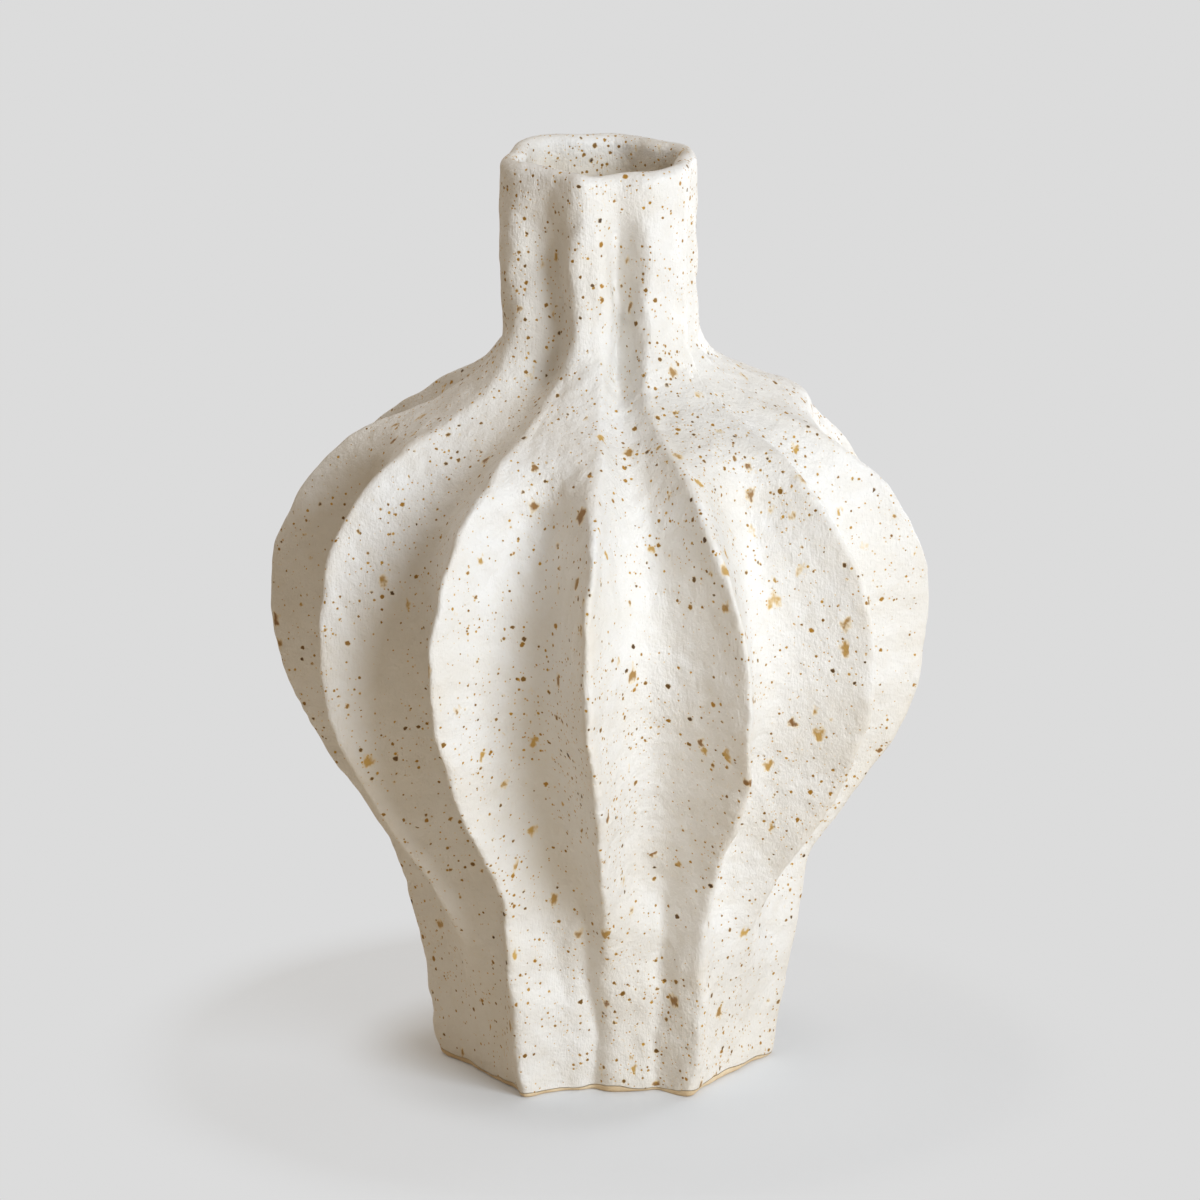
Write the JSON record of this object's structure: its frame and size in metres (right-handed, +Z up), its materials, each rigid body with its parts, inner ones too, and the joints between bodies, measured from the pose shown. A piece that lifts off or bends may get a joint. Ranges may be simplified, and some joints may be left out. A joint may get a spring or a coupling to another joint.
{
  "type": "fan vase",
  "caption": "Hand-built stoneware vase with sharp radial fan ridges around a round belly, a faceted tapering foot and a narrow fluted neck.",
  "frame": {"origin": "centre of the vase's footprint on the surface it stands on", "axes": "+Z up along the vase's axis, -Y towards the front ridge, +X to the right of it"},
  "size_m": [0.1977, 0.198, 0.28],
  "materials": {
    "speckled_glaze": "satin off-white glaze with iron specks from pinpoints to small blotches, creamier where it thins over pinched edges",
    "bare_clay": "unglazed buff stoneware, matte, left bare where the vase stood in the kiln"
  },
  "bodies": {
    "root": {"base_slab": "bare_clay", "floor_joint_coil": "speckled_glaze", "neck_collar": "speckled_glaze", "lip_coil": "speckled_glaze", "fan_panel_01": "speckled_glaze", "ridge_bead_01": "speckled_glaze", "fan_panel_02": "speckled_glaze", "ridge_bead_02": "speckled_glaze", "fan_panel_03": "speckled_glaze", "ridge_bead_03": "speckled_glaze", "fan_panel_04": "speckled_glaze", "ridge_bead_04": "speckled_glaze", "fan_panel_05": "speckled_glaze", "ridge_bead_05": "speckled_glaze", "fan_panel_06": "speckled_glaze", "ridge_bead_06": "speckled_glaze", "fan_panel_07": "speckled_glaze", "ridge_bead_07": "speckled_glaze", "fan_panel_08": "speckled_glaze", "ridge_bead_08": "speckled_glaze", "fan_panel_09": "speckled_glaze", "ridge_bead_09": "speckled_glaze", "fan_panel_10": "speckled_glaze", "ridge_bead_10": "speckled_glaze", "fan_panel_11": "speckled_glaze", "ridge_bead_11": "speckled_glaze", "fan_panel_12": "speckled_glaze", "ridge_bead_12": "speckled_glaze"}
  },
  "joints": []
}
